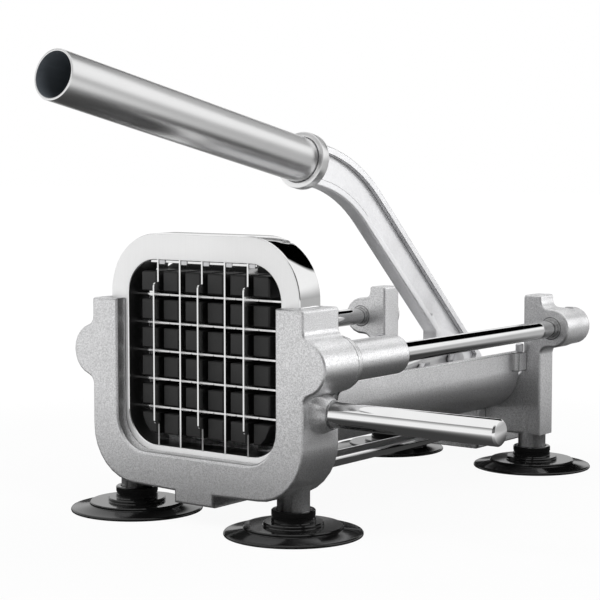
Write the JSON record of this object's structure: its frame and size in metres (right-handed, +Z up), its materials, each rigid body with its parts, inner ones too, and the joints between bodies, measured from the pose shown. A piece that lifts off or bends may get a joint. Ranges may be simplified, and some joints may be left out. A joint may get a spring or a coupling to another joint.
{
  "type": "french fry cutter",
  "caption": "Lever-operated potato cutter: a pusher block slides on guide rods and presses the potato through a square blade grid in an arched frame, on suction feet",
  "frame": {"origin": "on the ground, under the middle of the whole cutter's bounding box", "axes": "+X to the right seen from the blades, +Y from the blades to the lever pivot, +Z up"},
  "size_m": [0.2208, 0.3475, 0.2022],
  "materials": {
    "sand_cast_aluminium": "light grey sand-blasted cast aluminium with fine speckle",
    "chrome_steel": "polished chrome-plated steel",
    "satin_steel": "satin steel",
    "blade_steel": "bright ground steel strip",
    "black_plastic": "matte black moulded plastic",
    "black_rubber": "glossy black rubber",
    "zinc_fasteners": "zinc-plated steel fasteners",
    "white_nylon": "plain white nylon"
  },
  "bodies": {
    "cutter_frame": {"blade_frame": "satin_steel", "blade_horizontal_1": "blade_steel", "blade_horizontal_2": "blade_steel", "blade_horizontal_3": "blade_steel", "blade_horizontal_4": "blade_steel", "blade_horizontal_5": "blade_steel", "blade_vertical_1": "blade_steel", "blade_vertical_2": "blade_steel", "blade_vertical_3": "blade_steel", "blade_vertical_4": "blade_steel", "blade_vertical_5": "blade_steel", "foot_front_left": "black_rubber", "foot_front_right": "black_rubber", "foot_rear_left": "black_rubber", "foot_rear_right": "black_rubber", "foot_stud_front_left": "zinc_fasteners", "foot_stud_front_right": "zinc_fasteners", "foot_stud_rear_left": "zinc_fasteners", "foot_stud_rear_right": "zinc_fasteners", "front_casting": "sand_cast_aluminium", "front_grub_screw_left": "zinc_fasteners", "front_grub_screw_right": "zinc_fasteners", "guide_rod_left": "chrome_steel", "guide_rod_right": "chrome_steel", "pivot_bolt": "zinc_fasteners", "pivot_nut": "zinc_fasteners", "pivot_washer_left": "zinc_fasteners", "pivot_washer_right": "zinc_fasteners", "rear_casting": "sand_cast_aluminium", "rear_grub_screw_left": "zinc_fasteners", "rear_grub_screw_right": "zinc_fasteners", "side_bar": "chrome_steel", "tie_rod": "chrome_steel", "tie_rod_nut": "zinc_fasteners", "trough": "sand_cast_aluminium", "trough_screw_left": "zinc_fasteners", "trough_screw_right": "zinc_fasteners"},
    "lever": {"lever_arm": "sand_cast_aluminium", "handle_tube": "satin_steel"},
    "links": {"link_bolt": "zinc_fasteners", "link_left": "satin_steel", "link_nut": "zinc_fasteners", "link_right": "satin_steel", "link_spacer": "zinc_fasteners", "spacer_bolt": "zinc_fasteners", "spacer_nut": "zinc_fasteners"},
    "carriage": {"pusher_block": "black_plastic", "pusher_screw_lower_left": "zinc_fasteners", "pusher_screw_lower_right": "zinc_fasteners", "pusher_screw_upper_left": "zinc_fasteners", "pusher_screw_upper_right": "zinc_fasteners", "slide_bush_left": "white_nylon", "slide_bush_right": "white_nylon", "carriage": "sand_cast_aluminium", "link_front_pin": "zinc_fasteners"}
  },
  "joints": [
    {"name": "lever_pivot", "type": "hinge", "parent": "cutter_frame", "child": "lever", "pos_m": [-0.0356, 0.16278, 0.0178], "axis": [-1, 0, 0], "range_deg": [0, 108.84]},
    {"name": "link_pivot", "type": "hinge", "parent": "lever", "child": "links", "pos_m": [-0.0356, 0.11078, 0.055], "axis": [-1, 0, 0], "range_deg": [-108.85, 0]},
    {"name": "carriage_slide", "type": "slide", "parent": "cutter_frame", "child": "carriage", "axis": [0, 1, 0], "range_m": [0, 0.1041]}
  ],
  "couplings": [
    {"joint": "link_pivot", "follows": "lever_pivot", "ratio": -1},
    {"joint": "carriage_slide", "follows": "lever_pivot", "m_per_rad": 0.054747}
  ]
}
